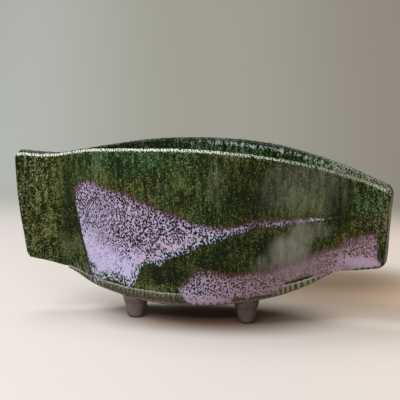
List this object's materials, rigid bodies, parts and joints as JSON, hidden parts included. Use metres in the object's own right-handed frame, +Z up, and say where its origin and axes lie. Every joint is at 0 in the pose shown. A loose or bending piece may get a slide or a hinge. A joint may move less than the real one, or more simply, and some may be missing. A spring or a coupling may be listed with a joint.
{
  "type": "ikebana vase",
  "caption": "Boat-shaped slab-built stoneware flower vase with pinched fin ends, peg feet, mottled green and lilac glaze and a loose needle flower holder inside.",
  "frame": {"origin": "centre of the bounding box in plan, on the plane that the feet stand on", "axes": "+X along the vase from the left fin to the right fin, +Y from the front wall to the back wall, +Z up"},
  "size_m": [0.3294, 0.114, 0.152],
  "materials": {
    "glazed_stoneware": "glossy mottled green and lilac glaze",
    "bare_stoneware": "bare fired clay",
    "cast_weight": "dull cast lead grey",
    "brass_needles": "drawn brass",
    "rubber_ring": "matte black"
  },
  "bodies": {
    "vessel": {"front_wall": "glazed_stoneware", "back_wall": "glazed_stoneware", "base_slab": "glazed_stoneware", "front_seam_coil": "glazed_stoneware", "back_seam_coil": "glazed_stoneware", "foot_front_left": "bare_stoneware", "foot_front_right": "bare_stoneware", "foot_back_left": "bare_stoneware", "foot_back_right": "bare_stoneware"},
    "kenzan": {"kenzan_base": "cast_weight", "kenzan_pins": "brass_needles", "kenzan_ring": "rubber_ring"}
  },
  "joints": [
    {"name": "kenzan_lift", "type": "slide", "parent": "vessel", "child": "kenzan", "axis": [0, 0, 1], "range_m": [0, 0.14]}
  ]
}
